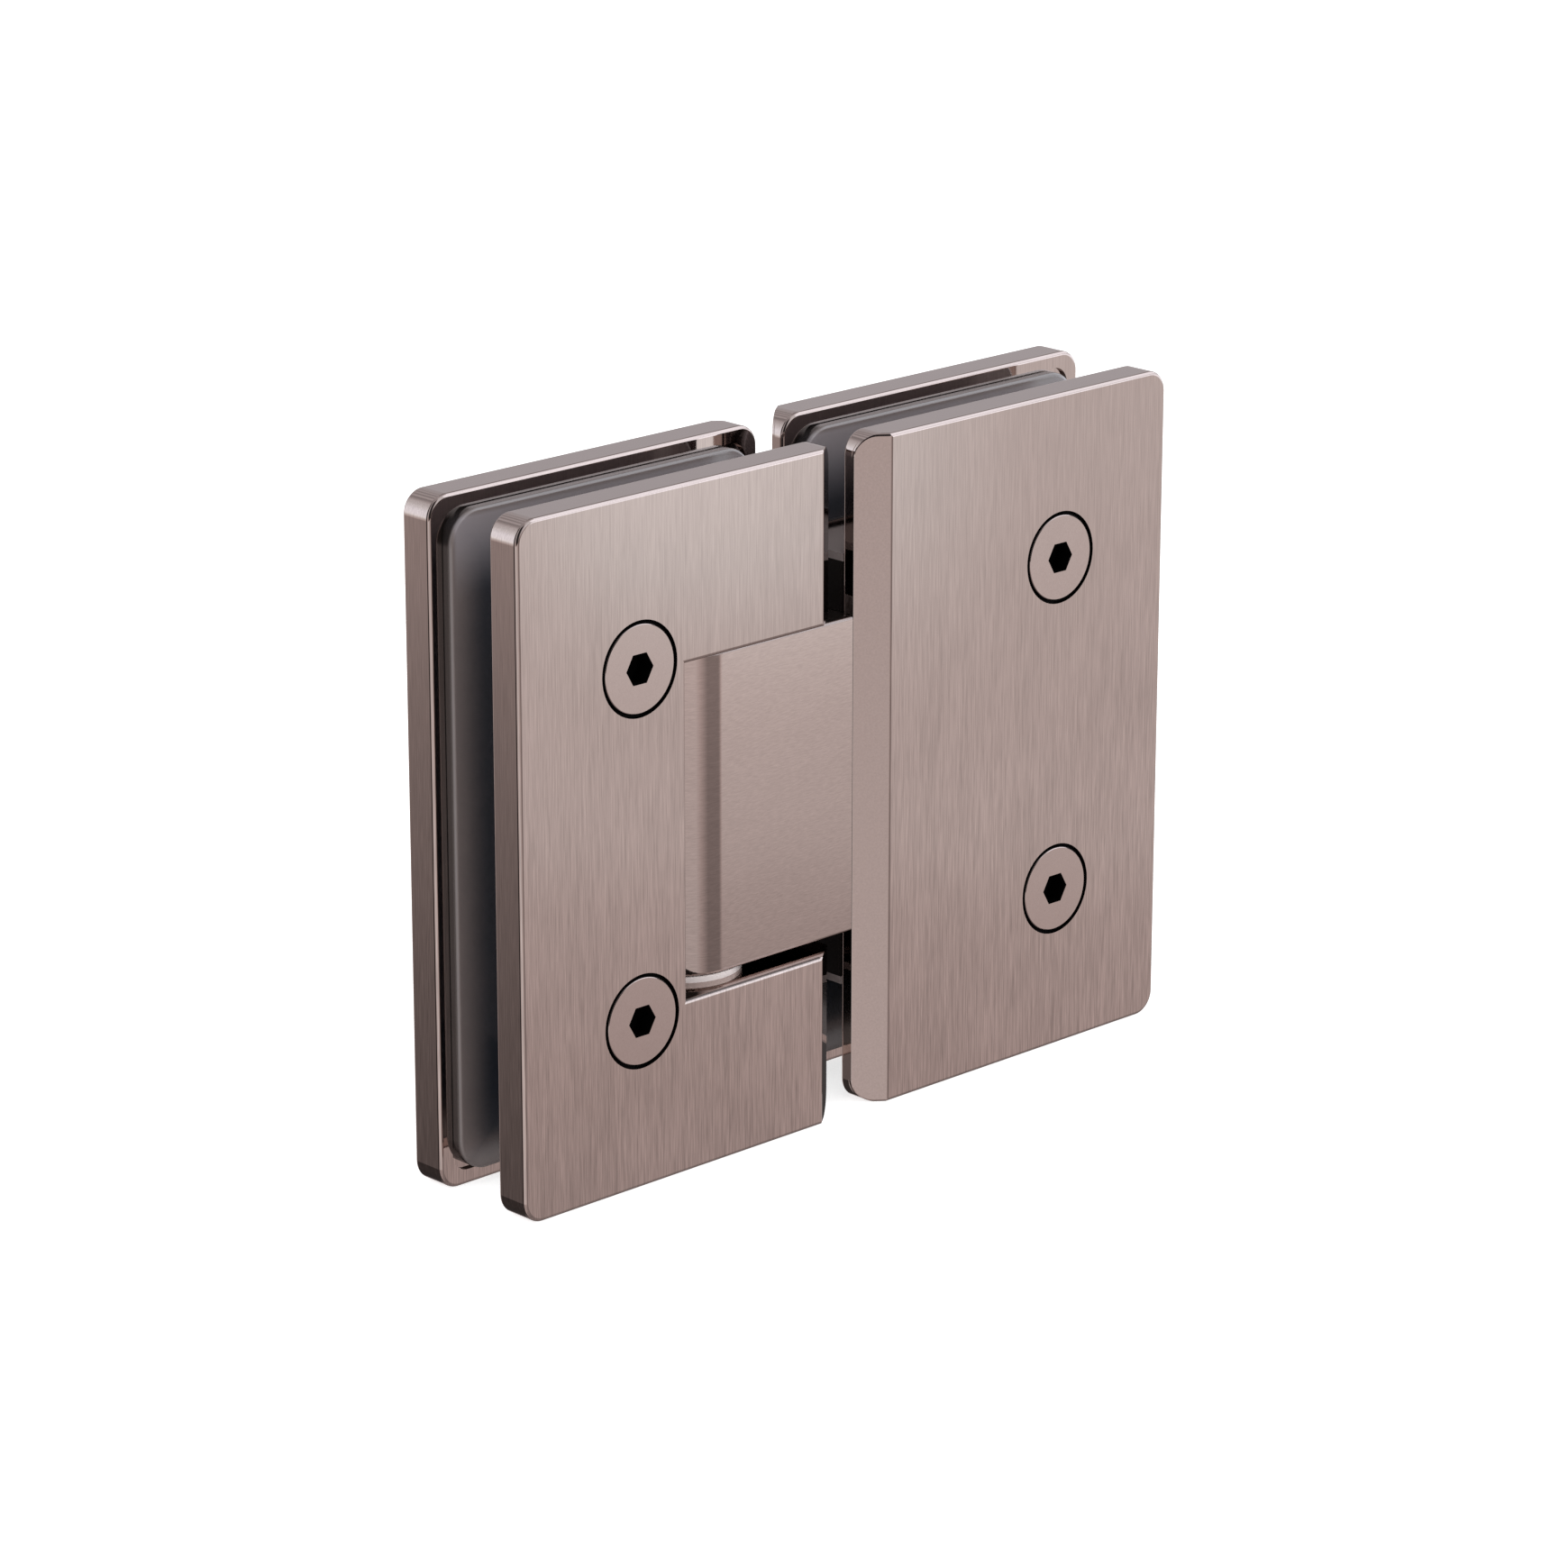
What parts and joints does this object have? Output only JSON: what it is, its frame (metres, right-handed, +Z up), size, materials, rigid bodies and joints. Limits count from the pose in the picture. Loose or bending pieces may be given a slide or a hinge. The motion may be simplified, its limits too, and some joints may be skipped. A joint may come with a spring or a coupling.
{
  "type": "glass door hinge",
  "caption": "Glass-to-glass shower door hinge: two leaves of bevelled plates with gaskets clamp glass and swing both ways about a pin in a central barrel.",
  "frame": {"origin": "centre of the closed hinge: middle of the centre gap, of the thickness and of the height", "axes": "+X along the width from the door leaf to the fixed leaf, +Y from the screw side to the rear plates, +Z up along the pin"},
  "size_m": [0.114, 0.021, 0.09],
  "materials": {
    "brushed_nickel": "pinkish brushed nickel plate on brass, vertical grain on the plates and horizontal grain on the neck",
    "screw_metal": "satin, same plating as the plates",
    "bright_steel": "ground steel",
    "plunger_brass": "turned brass",
    "gasket": "smooth translucent grey pad",
    "liner": "pale grey strip",
    "nylon": "white nylon"
  },
  "bodies": {
    "fixed_leaf": {"fixed_front_plate": "brushed_nickel", "fixed_rear_plate": "brushed_nickel", "pivot_body": "brushed_nickel", "fixed_front_gasket": "gasket", "fixed_rear_gasket": "gasket", "fixed_edge_liner": "liner", "fixed_screw_upper": "screw_metal", "fixed_screw_lower": "screw_metal", "upper_bush": "nylon", "lower_bush": "nylon", "detent_plunger_upper": "plunger_brass", "detent_plunger_lower": "plunger_brass", "detent_spring_upper": "bright_steel", "detent_spring_lower": "bright_steel", "detent_plug_upper": "bright_steel", "detent_plug_lower": "bright_steel"},
    "door_leaf": {"door_front_plate": "brushed_nickel", "door_rear_plate": "brushed_nickel", "door_frame": "brushed_nickel", "door_front_gasket": "gasket", "door_rear_gasket": "gasket", "door_edge_liner": "liner", "door_screw_upper": "screw_metal", "door_screw_lower": "screw_metal", "pivot_pin": "bright_steel", "pin_lock_screw_upper": "bright_steel", "pin_lock_screw_lower": "bright_steel", "upper_washer": "nylon", "lower_washer": "nylon"}
  },
  "joints": [
    {"name": "door_swing", "type": "hinge", "parent": "fixed_leaf", "child": "door_leaf", "pos_m": [-0.0206, 0, 0], "axis": [0, 0, 1], "range_deg": [-90, 90]}
  ]
}
